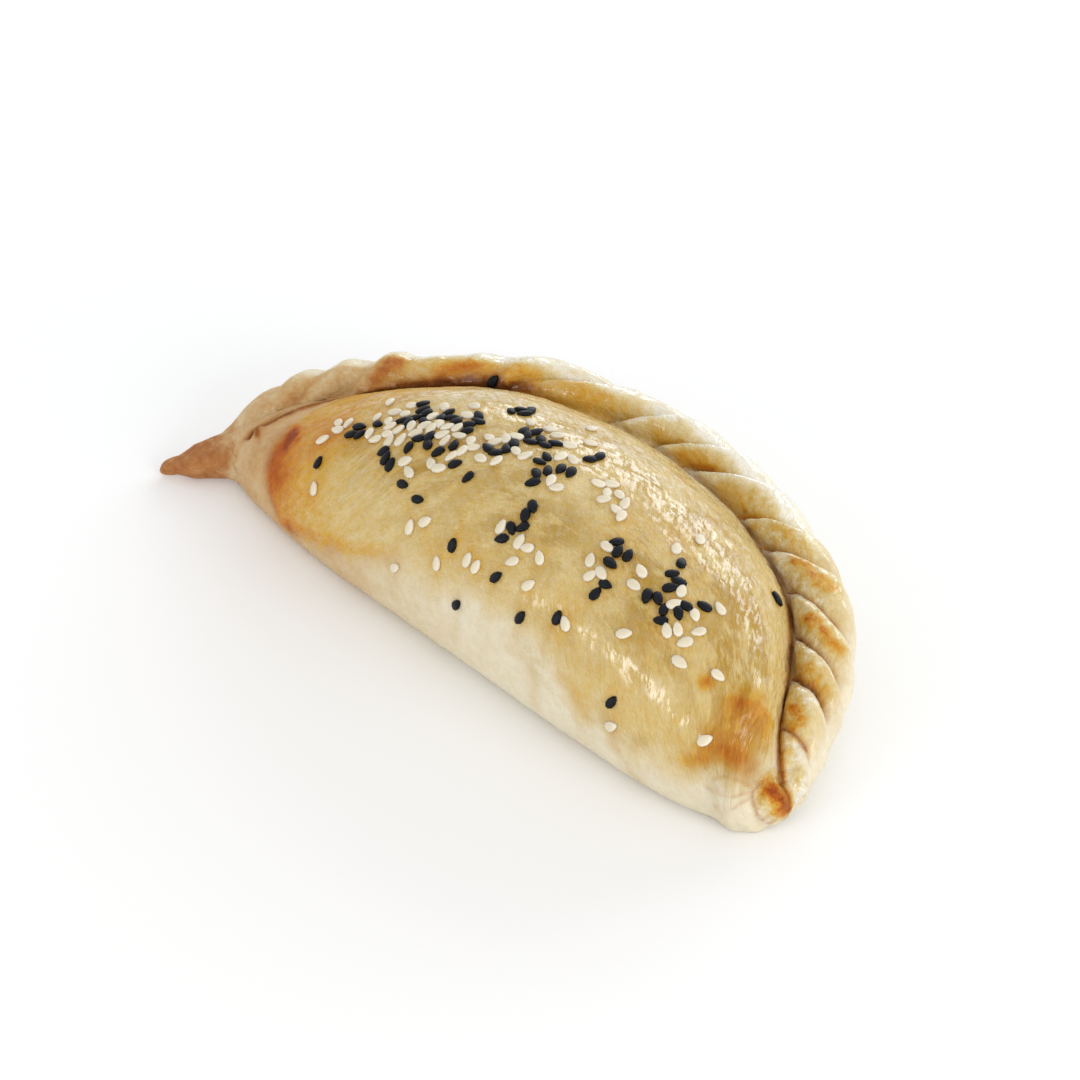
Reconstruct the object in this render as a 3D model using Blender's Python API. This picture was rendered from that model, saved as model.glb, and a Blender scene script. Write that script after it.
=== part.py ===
"""A baked half-moon empanada: one solid crust with a domed belly, a rope of crimped pleats along
its round side, a pinched tail at one end and a tucked-in knob at the other. It rests on its flat
base.

Frame: +X runs along the folded side from the tail to the knob, +Y runs from the folded side to
the rope, +Z is up. The origin is the middle of the crust's box, on the base."""

import math

import bmesh
import bpy
from mathutils import Vector

MM = 0.001

# ---- Driving dimensions, in millimetres and degrees -------------------------------------------

# The crust is a loft of upright rings, one station every 15 to 25 mm of rope. Each station gives
# fold x, fold y, rope x, rope y, rope height, rope radius, crest height, crest place (fold 0,
# rope 1), and the angle round the rope at which the belly meets it
STATIONS = (
    (-66.0, -37.8, -66.6, -37.0, 2.4, 1.2, 3.6, 0.50, 95),
    (-62.5, -34.3, -63.6, -32.8, 3.4, 2.1, 5.4, 0.50, 95),
    (-54.8, -29.2, -58.8, -26.3, 5.8, 3.6, 9.4, 0.50, 100),
    (-48.0, -30.0, -56.0, -20.3, 8.3, 4.9, 12.5, 0.44, 120),
    (-38.0, -33.5, -49.2, -9.0, 12.0, 6.0, 17.0, 0.40, 140),
    (-20.0, -37.0, -37.0, 4.5, 14.6, 6.6, 25.5, 0.38, 150),
    (0.0, -38.2, -17.0, 17.4, 15.9, 7.0, 32.5, 0.37, 148),
    (20.0, -39.5, 9.0, 21.4, 16.0, 7.3, 35.5, 0.37, 140),
    (40.0, -40.2, 36.0, 18.0, 14.9, 7.4, 34.5, 0.38, 136),
    (58.0, -40.0, 59.2, 7.8, 13.3, 7.4, 31.0, 0.40, 132),
    (71.5, -38.0, 71.5, -4.0, 11.2, 7.1, 25.0, 0.43, 131),
    (79.2, -34.2, 78.7, -17.0, 8.4, 6.3, 18.0, 0.46, 118),
    (81.8, -30.8, 82.0, -22.8, 6.4, 4.8, 11.5, 0.50, 104),
    (84.0, -28.8, 84.4, -25.8, 5.4, 3.8, 8.6, 0.50, 95),
    (85.6, -27.6, 86.0, -26.8, 5.0, 2.6, 7.2, 0.50, 95),
)
SLICES = 132  # rings along the loft, less one
BELLY_WIDTH = 28.0  # slices wider than this have the full belly's round
FOLD_ROUND = 0.28  # height of the fold's widest line, as a share of the crest height
FOLD_TUCK = 0.75  # how far the base stays inside that line, as a share of its height
FOLD_SWELL = 0.92  # under 1 swells the fold's shoulder
BELLY_SWELL = 1.3  # over 1 swells the belly's far shoulder, towards the rope
ROPE_END = -100.0  # angle round the rope at which its underside begins

# Creases between the rope's pleats: where each leaves the belly and where it reaches the outer
# side, as lengths along the rope's middle line from the tail's tip
CREASES = (
    (13, 18), (21, 29), (31, 37), (40, 46), (49, 52), (70, 70), (78, 94), (97, 111), (109, 127),
    (121, 139), (138, 151), (146, 157), (157, 170), (170, 178), (180, 187), (190, 195), (199, 204),
)
CREASE_TOP = 130.0  # angle round the rope where a crease leaves the belly
GROOVE_CUT = 0.2  # how much the rope narrows beside the groove, as a share of its radius
PLEAT_DEPTH = 2.4
PLEAT_LEAN = 0.8  # under 1 moves each pleat's highest line towards the tail
PLEAT_ROUND = 2.6  # higher is a squarer pleat with narrower creases

TIP_ROUND = 3.0  # how far the round of each tip reaches back along the rope

# The knob is the rope's end, pressed down beside the belly
KNOB_CENTRE = Vector((83.2, -27.4, 5.2))
KNOB_RADII = Vector((3.8, 4.4, 4.6))

# Points across one ring: base, each half of the fold, belly, rope, underside
RING_COUNTS = (3, 5, 8, 13, 3)


def spline(values, t):
    """Smooth curve through values, which stand at whole numbers t."""
    last = len(values) - 1
    i = min(int(t), last - 1)
    f = t - i
    a = values[max(i - 1, 0)]
    b = values[i]
    c = values[i + 1]
    d = values[min(i + 2, last)]
    slope = c - a
    bend = 2 * a - 5 * b + 4 * c - d
    return 0.5 * (2 * b + slope * f + bend * f ** 2 + (3 * b - a - 3 * c + d) * f ** 3)


def station(t):
    return [spline(column, t) for column in zip(*STATIONS)]


def ease(low, high, x):
    """0 below low, 1 above high, and a smooth rise between them."""
    f = min(max((x - low) / (high - low), 0.0), 1.0)
    return f * f * (3 - 2 * f)


def rope_lengths(steps=400):
    """Length along the rope's middle line at evenly spaced t."""
    last = len(STATIONS) - 1
    middles = [Vector(station(last * n / steps)[2:5]) for n in range(steps + 1)]
    lengths = [0.0]
    for before, here in zip(middles, middles[1:]):
        lengths.append(lengths[-1] + (here - before).length)
    return lengths


def pleat_rise(along, turn):
    """How far a pleat stands proud, 0 to 1, at a length along the rope and an angle round it."""
    run = min(max(1 - turn / CREASE_TOP, -0.2), 1.3)
    marks = [top + (side - top) * run for top, side in CREASES]
    for low, high in zip(marks, marks[1:]):
        if low <= along < high:
            f = ((along - low) / (high - low)) ** PLEAT_LEAN
            return 1 - abs(2 * f - 1) ** PLEAT_ROUND
    return 0.7


def rope_point(t, along, turn, body):
    """A point of the rope's skin: turn is 0 on the outer side and 90 on top."""
    middle = Vector(station(t)[2:5])
    radius = station(t)[5]
    last = len(STATIONS) - 1
    ahead = Vector(station(min(t + 0.05, last))[2:4])
    behind = Vector(station(max(t - 0.05, 0))[2:4])
    run = (ahead - behind).normalized()
    outward = Vector((-run.y, run.x, 0))
    fade = ease(-70.0, 60.0, turn) * (0.55 + 0.45 * ease(0.0, 60.0, turn))
    radius *= 1 - GROOVE_CUT * body * ease(-40.0, 0.0, turn - station(t)[8])
    radius += PLEAT_DEPTH * body * fade * (pleat_rise(along, turn) - 0.8)
    a = math.radians(turn)
    return middle + radius * (outward * math.cos(a) + Vector((0, 0, math.sin(a))))


def ring_points(t, along, counts):
    """Points of one ring, closed: fold, belly, rope, underside and back along the base."""
    fold_x, fold_y, rope_x, rope_y, rope_z, rope_r, crest, share, groove_turn = station(t)
    n_base, n_fold, n_belly, n_rope, n_under = counts
    fold = Vector((fold_x, fold_y, 0))
    across = Vector((rope_x - fold_x, rope_y - fold_y, 0))
    width = across.length
    across.normalize()
    body = ease(0.0, BELLY_WIDTH, width)  # 0 on the tail, 1 where the belly is full
    edge = -rope_r * (1 - body)
    edge_z = rope_z + (FOLD_ROUND * crest - rope_z) * body
    base_edge = edge + FOLD_TUCK * edge_z * (0.6 + 0.4 * body)
    points = []

    def place(distance, height):
        points.append(fold + across * distance + Vector((0, 0, height)))

    for k in range(n_fold):
        a = math.pi / 2 * k / n_fold
        place(base_edge + (edge - base_edge) * math.sin(a), edge_z * (1 - math.cos(a)))
    for k in range(n_fold):
        a = math.pi / 2 * k / n_fold
        rise = math.sin(a) ** FOLD_SWELL
        place(edge + (share * width - edge) * (1 - math.cos(a)), edge_z + (crest - edge_z) * rise)
    groove = rope_point(t, along, groove_turn, body)
    top = fold + across * share * width
    for k in range(n_belly):
        q = k / n_belly
        point = top.lerp(groove, q)
        point.z = groove.z + (crest - groove.z) * math.cos(math.pi / 2 * q ** BELLY_SWELL)
        points.append(point)
    for k in range(n_rope + 1):
        turn = groove_turn + (ROPE_END - groove_turn) * k / n_rope
        points.append(rope_point(t, along, turn, body))
    under = points[-1].copy()
    inset = max(base_edge + 0.3, width - rope_r - 1.2 * under.z)
    for k in range(1, n_under + 1):
        q = k / n_under
        point = under.lerp(fold + across * inset, q)
        point.z = under.z * (1 - q) ** 2
        points.append(point)
    for k in range(1, n_base):
        place(inset + (base_edge - inset) * k / n_base, 0)
    return points


def round_tip(points, distance):
    """Near a tip, a ring shrinks towards its middle as a ball's slices do."""
    share = min(distance / TIP_ROUND, 1.0)
    size = max(math.sqrt(1 - (1 - share) ** 2), 0.1)
    middle = sum(points, Vector()) / len(points)
    return [middle.lerp(point, size) for point in points]


def swell_knob(point):
    """A point inside the knob moves out to the knob's skin."""
    offset = point - KNOB_CENTRE
    reach = Vector(o / r for o, r in zip(offset, KNOB_RADII)).length
    if 0 < reach < 1:
        point = KNOB_CENTRE + offset / reach
    point.z = max(point.z, 0.0)
    return point


def crust_rings():
    """Every ring's points, from the tail to the knob."""
    lengths = rope_lengths()
    rings = []
    for n in range(SLICES + 1):
        mark = n / SLICES * (len(lengths) - 1)
        i = min(int(mark), len(lengths) - 2)
        along = lengths[i] + (lengths[i + 1] - lengths[i]) * (mark - i)
        points = ring_points((len(STATIONS) - 1) * n / SLICES, along, RING_COUNTS)
        points = round_tip(points, min(along, lengths[-1] - along))
        rings.append([swell_knob(point) for point in points])
    return rings


def base_middle(rings):
    """The middle of the box round the rings, on its base."""
    low = Vector(min(point[axis] for ring in rings for point in ring) for axis in range(3))
    high = Vector(max(point[axis] for ring in rings for point in ring) for axis in range(3))
    middle = (low + high) / 2
    middle.z = low.z
    return middle


def crust_mesh():
    """A closed cylinder of many rings, each ring pulled to its place on the crust."""
    rings = crust_rings()
    origin = base_middle(rings)
    sides = len(rings[0])
    mesh = bmesh.new()
    bmesh.ops.create_cone(mesh, cap_ends=True, segments=sides, radius1=1, radius2=1, depth=1)
    upright = [edge for edge in mesh.edges if abs(edge.verts[0].co.z - edge.verts[1].co.z) > 0.5]
    bmesh.ops.subdivide_edges(mesh, edges=upright, cuts=SLICES - 1)
    for vert in mesh.verts:
        n = round((vert.co.z + 0.5) * SLICES)
        k = round(math.atan2(vert.co.y, vert.co.x) / (2 * math.pi) * sides) % sides
        vert.co = (rings[n][-k] - origin) * MM  # rings run clockwise seen from the knob
    return mesh


def baked_dough():
    material = bpy.data.materials.new("baked_dough")
    material.use_nodes = True
    shader = material.node_tree.nodes["Principled BSDF"]
    shader.inputs["Base Color"].default_value = (0.68, 0.46, 0.19, 1)
    shader.inputs["Roughness"].default_value = 0.45
    shader.inputs["Metallic"].default_value = 0
    return material


def main():
    for old in list(bpy.data.objects):
        bpy.data.objects.remove(old)
    mesh = crust_mesh()
    data = bpy.data.meshes.new("crust")
    mesh.to_mesh(data)
    mesh.free()
    data.shade_smooth()
    data.materials.append(baked_dough())
    crust = bpy.data.objects.new("crust", data)
    bpy.context.scene.collection.objects.link(crust)


main()
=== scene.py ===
"""Looks of a baked half-moon empanada: a glazed and browned crust with a crimped rope of pleats,
sprinkled with white and black sesame seeds.

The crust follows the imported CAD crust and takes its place. Lengths are in millimetres in the CAD
frame until a mesh is made: +X runs from the tail to the knob, +Y from the fold to the rope."""

import math
import random

import bmesh
import bpy
import numpy as np
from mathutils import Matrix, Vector, noise
from mathutils.bvhtree import BVHTree


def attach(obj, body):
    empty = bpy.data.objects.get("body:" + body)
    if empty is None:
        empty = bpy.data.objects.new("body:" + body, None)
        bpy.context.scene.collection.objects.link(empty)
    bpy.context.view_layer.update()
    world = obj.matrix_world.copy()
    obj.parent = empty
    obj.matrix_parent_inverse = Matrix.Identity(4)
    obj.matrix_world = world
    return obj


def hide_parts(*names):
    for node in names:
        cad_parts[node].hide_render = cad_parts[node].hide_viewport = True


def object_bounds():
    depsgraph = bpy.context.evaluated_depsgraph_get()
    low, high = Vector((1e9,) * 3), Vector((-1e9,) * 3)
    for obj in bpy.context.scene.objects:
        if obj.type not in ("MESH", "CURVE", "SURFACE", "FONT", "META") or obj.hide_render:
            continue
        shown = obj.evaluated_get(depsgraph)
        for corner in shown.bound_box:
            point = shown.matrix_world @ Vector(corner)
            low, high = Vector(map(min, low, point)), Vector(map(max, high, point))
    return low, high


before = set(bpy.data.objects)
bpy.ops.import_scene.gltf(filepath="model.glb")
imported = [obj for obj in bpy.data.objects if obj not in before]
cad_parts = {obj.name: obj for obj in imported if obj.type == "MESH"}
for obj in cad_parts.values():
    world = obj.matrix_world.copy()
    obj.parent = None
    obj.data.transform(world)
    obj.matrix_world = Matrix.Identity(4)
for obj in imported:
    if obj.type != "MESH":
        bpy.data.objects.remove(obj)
CAD_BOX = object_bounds()

MM = 0.001

# ---- The crust's loft --------------------------------------------------------------------------

# fold x, fold y, rope x, rope y, rope height, rope radius, crest height, crest place (fold 0,
# rope 1), and the angle round the rope at which the belly meets it
STATIONS = np.array((
    (-66.0, -37.8, -66.6, -37.0, 2.4, 1.2, 3.6, 0.50, 95),
    (-62.5, -34.3, -63.6, -32.8, 3.4, 2.1, 5.4, 0.50, 95),
    (-54.8, -29.2, -58.8, -26.3, 5.8, 3.6, 9.4, 0.50, 100),
    (-48.0, -30.0, -56.0, -20.3, 8.3, 4.9, 12.5, 0.44, 120),
    (-38.0, -33.5, -49.2, -9.0, 12.0, 6.0, 17.0, 0.40, 140),
    (-20.0, -37.0, -37.0, 4.5, 14.6, 6.6, 25.5, 0.38, 150),
    (0.0, -38.2, -17.0, 17.4, 15.9, 7.0, 32.5, 0.37, 148),
    (20.0, -39.5, 9.0, 21.4, 16.0, 7.3, 35.5, 0.37, 140),
    (40.0, -40.2, 36.0, 18.0, 14.9, 7.4, 34.5, 0.38, 136),
    (58.0, -40.0, 59.2, 7.8, 13.3, 7.4, 31.0, 0.40, 132),
    (71.5, -38.0, 71.5, -4.0, 11.2, 7.1, 25.0, 0.43, 131),
    (79.2, -34.2, 78.7, -17.0, 8.4, 6.3, 18.0, 0.46, 118),
    (81.8, -30.8, 82.0, -22.8, 6.4, 4.8, 11.5, 0.50, 104),
    (84.0, -28.8, 84.4, -25.8, 5.4, 3.8, 8.6, 0.50, 95),
    (85.6, -27.6, 86.0, -26.8, 5.0, 2.6, 7.2, 0.50, 95),
))
SLICES = 600  # rings along the loft, less one
BELLY_WIDTH = 28.0
FOLD_ROUND = 0.28
FOLD_TUCK = 0.75
FOLD_SWELL = 0.92
BELLY_SWELL = 1.3
ROPE_END = -100.0
GROOVE_CUT = 0.2
TIP_ROUND = 3.0
ROPE_MM_PER_DEGREE = 0.122
KNOB_CENTRE = np.array((83.2, -27.4, 5.2))
KNOB_RADII = np.array((3.8, 4.4, 4.6))
KNOB_WASH = np.array((77.0, -22.0, 9.0))

# Points across one ring
LOW_FOLD = 8
HIGH_FOLD = 28
BELLY = 44
ROPE = 64
UNDERSIDE = 5
BASE = 3
GROOVE_POINT = LOW_FOLD + HIGH_FOLD + BELLY  # the ring point at the groove

# Pleats of the rope. Each starts at its own crease and ends at the next one's. A crease is given
# as lengths along the rope where it passes these angles round the rope
CREASE_TURNS = (135, 115, 95, 75, 55, 30)

# The crease, how deep the pleat's creases are, the shares of it that rise from its own crease and
# fall to the next one's, how far its back slopes down, and how sharply its crease is cut
PLEATS = (
    ((12, 12, 13, 14, 15, 17), 0.8, 0.50, 0.50, 0.0, 0.0),
    ((20, 21, 22, 24, 26, 28), 1.3, 0.50, 0.50, 0.0, 0.1),
    ((28, 30, 32, 33, 35, 37), 1.4, 0.50, 0.50, 0.0, 0.2),
    ((39, 41, 42, 43, 44, 46), 1.4, 0.45, 0.45, 0.0, 0.2),
    ((49, 49, 50, 51, 52, 53), 1.0, 0.40, 0.40, 0.0, 0.1),
    ((69, 69, 69, 69, 70, 71), 1.0, 0.40, 0.40, 0.0, 0.1),
    ((71, 75, 81, 86, 90, 95), 1.8, 0.35, 0.35, 0.3, 0.3),
    ((95, 99, 103, 105, 108, 111), 3.0, 0.22, 0.20, 0.6, 0.5),
    ((107, 111, 115, 118, 121, 125), 3.0, 0.20, 0.20, 0.65, 0.5),
    ((115, 120, 125, 129, 131, 135), 3.0, 0.20, 0.20, 0.6, 0.5),
    ((133, 137, 140, 143, 145, 148), 2.5, 0.25, 0.35, 0.3, 0.6),
    ((143, 146, 149, 152, 154, 157), 2.4, 0.30, 0.40, 0.2, 0.7),
    ((156, 158, 162, 165, 167, 170), 2.0, 0.38, 0.42, 0.0, 0.9),
    ((168, 170, 173, 175, 177, 179), 1.9, 0.38, 0.42, 0.0, 0.9),
    ((178, 179, 181, 182, 184, 186), 1.9, 0.38, 0.42, 0.0, 0.9),
    ((189, 190, 191, 192, 193, 195), 1.4, 0.35, 0.40, 0.0, 0.7),
    ((202, 202, 203, 204, 204, 205), 1.0, 0.50, 0.50, 0.0, 0.0),
)
# How far the pleats' tops stand outside the rope's plain round, by length along the rope
PLEAT_TOP = ((0, 1.1), (30, 1.1), (42, 0.5), (50, 0.7), (58, -0.5), (62, -0.5), (66, 0.3), (80, 0.5),
             (95, 0.8), (110, 1.1))
CREASE_CUT = 0.6
CREASE_HALF = 0.5
LAYER_PITCH = 1.15  # flaky layers beside a pleat's crease

# The groove beside the belly, by length along the rope: how far the rope's inner side sinks, a
# cut's depth, half width and place up the rope, and the shadow's darkness, half width and place
GROOVE = np.array((
    (0, 0.0, 0.0, 0.8, 0.0, 0.0, 1.2, -5.0),
    (17, 0.0, 0.2, 1.0, -4.0, 0.2, 1.2, -5.0),
    (20, 0.0, 1.0, 1.0, -5.5, 0.9, 1.4, -5.4),
    (24, 0.0, 0.6, 1.0, -4.0, 0.8, 2.2, -5.2),
    (30, 0.0, 0.4, 1.0, -2.0, 0.7, 2.6, -4.8),
    (35, 0.0, 0.4, 1.0, 0.0, 0.7, 2.4, -3.4),
    (40, 0.1, 0.5, 1.0, 0.0, 0.8, 1.7, -1.0),
    (50, 0.2, 0.6, 1.0, 0.0, 0.9, 1.8, 0.2),
    (64, 0.6, 0.8, 1.0, 0.0, 1.1, 2.2, 1.2),
    (70, 0.6, 0.8, 1.1, 0.0, 1.0, 2.2, 1.6),
    (77, 0.5, 0.4, 1.0, 0.0, 0.6, 1.6, 1.7),
    (84, 0.5, 0.2, 1.0, 0.0, 0.1, 1.2, 1.7),
    (104, 0.3, 0.1, 1.0, 0.0, 0.1, 1.2, 0.0),
    (116, 0.3, 0.3, 0.9, 0.4, 0.3, 1.0, 0.0),
    (135, 0.3, 0.6, 1.1, 0.0, 0.5, 1.2, -0.6),
    (148, 0.4, 0.9, 1.2, -1.2, 0.6, 1.7, -1.4),
    (155, 0.5, 1.0, 1.4, -1.7, 0.62, 2.1, -2.0),
    (176, 0.5, 1.0, 1.4, -1.8, 0.62, 2.1, -2.0),
    (186, 0.5, 0.8, 1.1, -1.0, 0.55, 1.5, -1.2),
    (200, 0.4, 0.7, 0.8, 0.0, 0.5, 1.0, 0.0),
))
GROOVE_BANK = 13.0  # degrees of the rope over which its inner side rises from the groove

# How thick the tail is against its plain taper, by length along the rope
TAIL_SWELL = ((0, 0.90), (2, 0.72), (4, 0.66), (7, 0.90), (9, 0.86), (13, 0.80), (16, 0.88), (20, 0.97),
              (24, 1.0))

# Lower edge of the egg wash on the fold: x and height
WASH_EDGE = ((-60, 13), (-53, 11), (-48, 7), (-44, 2), (-31, 6), (-22, 9), (-12, 14), (0, 16),
             (13, 20), (24, 20), (34, 16), (39, 10), (45, 12), (53, 9), (61, 8), (67, 12), (73, 14))

# Darker baking on the belly and the fold in strokes: half width, strength, and the points that
# the stroke passes
BAKED = (
    (1.4, 0.22, ((-50, -20, 18), (-49, -22, 16))),
    (0.6, 0.20, ((-49, -20, 18), (-49, -22, 16))),
    (0.8, 0.14, ((-51, -19, 18), (-50, -21, 17), (-47, -21, 18))),
    (2.6, 0.12, ((-52, -19, 17), (-50, -23, 15), (-47, -27, 11))),
    (5.0, 0.12, ((-50, -21, 17), (-46, -25, 14))),
    (1.4, 0.14, ((-51, -23, 14), (-49, -27, 9), (-45, -29, 5), (-41, -30, 5))),
    (3.8, 0.08, ((-47, -27, 11), (-43, -30, 7))),
    (5.0, 0.08, ((-44, -18, 20), (-34, -20, 23))),
    (1.6, 0.14, ((-41, -30, 5), (-31, -31, 9), (-22, -31, 12), (-12, -32, 16))),
    (1.4, 0.34, ((59, -24, 24),)),
    (3.5, 0.20, ((66, -22, 20), (68, -26, 17), (71, -27, 14))),
    (1.0, 0.12, ((63, -23, 22), (67, -19, 20), (71, -15, 17))),
    (2.0, 0.16, ((67, -27, 16), (72, -25, 12))),
    (2.4, 0.16, ((70, -19, 18), (72, -20, 15))),
    (2.0, 0.10, ((63, -31, 11), (64, -28, 16), (64, -22, 21), (65, -17, 22))),
    (1.4, 0.14, ((62, -31, 13), (65, -30, 14))),
    (1.5, 0.12, ((22, -34, 16), (28, -34, 14), (28, -34, 6))),
    (1.3, 0.12, ((34, -34, 17), (38, -34, 15), (42, -34, 12))),
    (1.2, 0.12, ((46, -34, 12), (50, -34, 7), (52, -33, 3))),
    (1.8, 0.54, ((75, -24, 11), (77, -23, 9), (79, -22, 7))),
    (1.0, 0.30, ((79, -24, 5), (80, -22, 5))),
)

# Darker baking on the rope: half width, strength, and the stroke's lengths along the rope with
# the angles round it
BAKED_ROPE = (
    (1.7, 0.14, ((26, 125), (27, 110))),
    (1.6, 0.14, ((29, 122), (31, 100), (33, 84))),
    (2.0, 0.30, ((44, 125), (46, 112), (49, 96))),
    (1.4, 0.14, ((46, 92), (48, 86))),
    (2.4, 0.14, ((57, 108), (61, 100))),
    (2.2, 0.22, ((58, 124), (61, 112), (63, 98))),
    (1.2, 0.14, ((65, 104), (67, 96))),
    (1.8, 0.08, ((71, 112), (76, 108))),
    (2.0, 0.04, ((88, 113), (94, 109), (100, 111))),
    (1.1, 0.16, ((98, 122), (101, 110))),
    (1.6, 0.11, ((105, 112), (109, 108), (112, 100))),
    (1.2, 0.16, ((107, 124), (111, 116))),
    (1.6, 0.10, ((115, 112), (119, 104), (123, 95))),
    (1.2, 0.20, ((114, 124), (118, 118), (121, 110))),
    (1.6, 0.09, ((126, 112), (131, 104), (136, 97))),
    (1.4, 0.16, ((128, 124), (134, 120), (139, 116))),
    (1.4, 0.22, ((141, 100), (145, 92), (149, 82))),
    (1.5, 0.36, ((153, 98), (157, 86), (160, 68))),
    (1.6, 0.16, ((162, 122), (164, 116), (167, 106))),
    (1.4, 0.38, ((168, 98), (170, 84), (172, 70), (173, 58))),
    (1.8, 0.24, ((175, 116), (178, 106), (181, 80), (182, 62))),
    (2.0, 0.24, ((184, 112), (187, 102), (190, 86))),
    (1.3, 0.22, ((187, 94), (189, 78))),
    (1.0, 0.50, ((189, 118), (194, 107), (197, 97), (201, 90))),
    (1.2, 0.16, ((192, 92), (195, 84))),
)

# Hollows on the rope, dented and painted dark with their shade: half width, depth, and the hollow's
# lengths and angles
HOLLOWS = (
    (1.0, 0.9, ((61, 134), (65, 131))),
    (0.6, 0.6, ((42, 143), (48, 141))),
)

# Fine wrinkles: half width, depth, darkness of browning and painted shade in the wrinkle, and the
# points that the wrinkle passes
WRINKLES = (
    (0.45, 0.4, 0.42, ((73, -24, 10), (72, -26, 9), (73, -26, 6), (76, -25, 3))),
    (2.4, 0.5, 0.0, ((64, -29, 14), (66, -24, 19), (66, -18, 22))),
    (0.5, 0.2, 0.18, ((63, -30, 13), (64, -26, 18), (66, -22, 20), (66, -17, 21))),
    (0.4, 0.2, 0.12, ((65, -30, 12), (67, -26, 17))),
    (0.4, 0.2, 0.12, ((62, -30, 14), (63, -25, 20))),
    (0.4, 0.3, 0.25, ((72, -26, 9), (69, -29, 9), (66, -30, 9))),
    (0.4, 0.3, 0.25, ((72, -26, 10), (69, -28, 12), (67, -30, 11))),
    (0.4, 0.25, 0.2, ((72, -26, 8), (70, -28, 7), (68, -30, 6))),
    (1.0, 0.8, 0.7, ((-61, -19, 13), (-59, -21, 13))),
    (0.6, 0.3, 0.2, ((-57, -22, 13), (-55, -24, 12), (-54, -26, 9))),
)

# Soft ridges: half width, rise, and the points that the ridge passes
RIDGES = (
    (1.2, 0.8, ((-66, -23, 9), (-64, -25, 7), (-62, -26, 3))),
    (1.3, 0.8, ((-58, -22, 13), (-56, -25, 10))),
    (1.3, 0.7, ((74, -16, 16), (76, -20, 13), (77, -23, 10))),
)

# Places where the egg wash is thick and olive gold: half width, strength, and the points passed
FILM = (
    (5.5, 0.6, ((36, -16, 32), (45, -22, 29), (52, -22, 27))),
    (3.0, 0.7, ((38, -3, 33), (46, -9, 30), (54, -10, 27), (60, -16, 25))),
    (2.0, 0.6, ((50, 0, 29), (57, -6, 27), (63, -14, 24))),
    (6.0, 0.4, ((-8, -12, 31), (4, -18, 33), (18, -20, 33))),
    (4.0, 0.4, ((-30, -20, 25), (-20, -22, 27), (-8, -22, 29))),
    (2.0, 0.4, ((24, -33, 19), (30, -34, 14), (29, -33, 18))),
    (1.4, 0.5, ((45, -34, 14), (50, -34, 12), (54, -33, 13))),
    (7.0, 0.8, ((60, -16, 25), (66, -22, 20), (68, -27, 16))),
    (4.0, 0.5, ((66, -8, 20), (70, -13, 17), (72, -18, 15))),
    (9.0, 0.35, ((4, 0, 33), (24, 4, 32), (42, 2, 30))),
)

# ---- Seeds -------------------------------------------------------------------------------------

SEED_LENGTH = 3.1
SEED_WIDTH = 1.95
SEED_THICKNESS = 0.95
SEED_SUNK = 0.25
SEED_SPOKES = 10
SEED_RINGS = 5
SEED_GAP = 1.8  # closest two seeds' middles may come

# Where seeds fall, seen from above: middle x and y, half length in x, half width in y, and how
# many white and black ones
SPRINKLES = (
    (-37, -18, 4, 4, 4, 0),
    (-30, -15, 4, 6, 6, 4),
    (-25, -15, 4, 6, 9, 9),
    (-18, -13, 4, 7, 13, 9),
    (-12, -14, 4, 6, 6, 11),
    (-6, -15, 4, 7, 7, 5),
    (1, -7, 5, 6, 6, 9),
    (9, -8, 4, 6, 5, 7),
    (15, -24, 6, 4, 6, 5),
    (25, -9, 5, 5, 8, 0),
    (33, -20, 4, 4, 5, 6),
    (46, -19, 5, 4, 8, 10),
)

# Seeds that lie by themselves: x, y, and the way the pointed end turns from +X
LONE_WHITE = (
    (-35, -28, 130), (-9, -32, 0), (-8, -29, 100), (-5, -28, 35), (1, -31, 125), (2, 7, 85),
    (10, -30, 85), (22, -29, 50), (32, -30, 150), (38, -9, 125), (38, -3, 130), (43, -27, 35),
    (47, -34, 0), (52, -13, 160), (54, -25, 15), (60, -22, 15), (64, -29, 40),
)
LONE_BLACK = (
    (-37, -25, 90), (-33, 16, 75), (-14, -25, 0), (-9, -26, 15), (3, -29, 105), (8, -33, 0),
    (15, -30, 30), (23, -32, 45), (30, -30, 100), (46, -33, 60), (41, -11, 120), (51, 3, 0),
)

# ---- Camera ------------------------------------------------------------------------------------

CAMERA_AZIMUTH = 45.0
CAMERA_ELEVATION = 38.0
CAMERA_DISTANCE = 650.0
CAMERA_AIM = Vector((-10.1, 5.8, 0.0))
CAMERA_LENS = 114.8


def ease(low, high, x):
    """0 below low, 1 above high, and a smooth rise between them."""
    f = np.clip((x - low) / (high - low), 0, 1)
    return f * f * (3 - 2 * f)


def spline(values, t):
    """Smooth curve through the rows of values, which stand at whole numbers t."""
    last = len(values) - 1
    i = np.clip(t.astype(int), 0, last - 1)
    f = (t - i)[:, None]
    a, b, c, d = (values[np.clip(i + step, 0, last)] for step in (-1, 0, 1, 2))
    bend = 2 * a - 5 * b + 4 * c - d
    return 0.5 * (2 * b + (c - a) * f + bend * f ** 2 + (3 * b - a - 3 * c + d) * f ** 3)


def rings_along_rope():
    """The loft's t for rings spaced evenly along the rope, and the length at each."""
    t = np.linspace(0, len(STATIONS) - 1, 2000)
    middles = spline(STATIONS, t)[:, 2:5]
    steps = np.linalg.norm(np.diff(middles, axis=0), axis=1)
    lengths = np.concatenate(([0], np.cumsum(steps)))
    along = np.linspace(0, lengths[-1], SLICES + 1)
    return np.interp(along, lengths, t), along


def flank(share, sharp):
    """A pleat's side, 0 at its crease and 1 at its top: round at the foot, or cut when sharp."""
    return np.sin(np.clip(share, 0, 1) * math.pi / 2) ** (2 - 1.1 * sharp)


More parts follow.
